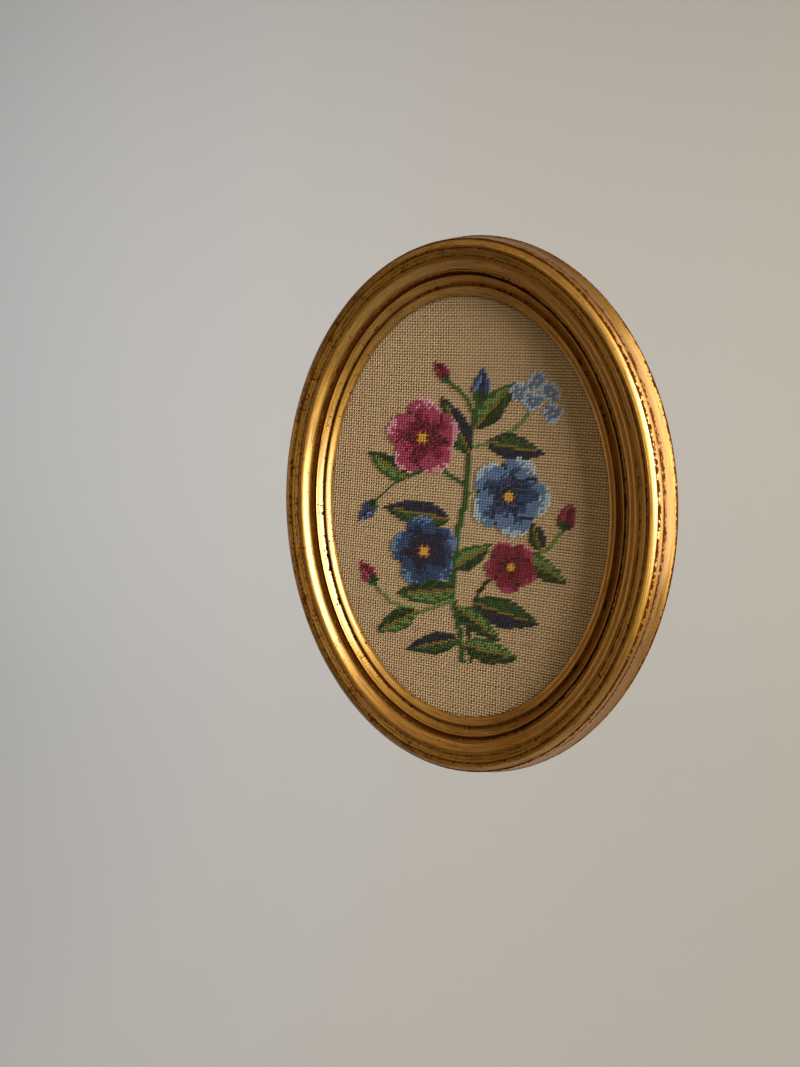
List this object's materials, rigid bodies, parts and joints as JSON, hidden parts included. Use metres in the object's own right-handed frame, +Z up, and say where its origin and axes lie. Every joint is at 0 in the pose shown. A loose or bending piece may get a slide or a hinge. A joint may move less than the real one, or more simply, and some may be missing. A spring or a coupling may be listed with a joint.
{
  "type": "embroidered canvas in an oval gilt frame",
  "caption": "Oval gilt wood frame with a turned moulding round a canvas embroidered with a spray of flowers, closed by a backing board, to hang on a wall.",
  "frame": {"origin": "top of the recess in the frame's back, in the plane of the wall, where a nail takes the frame", "axes": "+Z up along the oval's long axis, +Y into the wall, -Y out of the picture to the viewer, +X to the viewer's right"},
  "size_m": [0.1712, 0.0171, 0.225],
  "materials": {
    "gilt_wood": "rubbed gilding over dark red bole on turned wood",
    "canvas": "open woven cotton canvas worked in stranded thread",
    "backing_card": "plain matt board"
  },
  "bodies": {
    "root": {"frame": "gilt_wood", "embroidery": "canvas", "backing_board": "backing_card"}
  },
  "joints": []
}
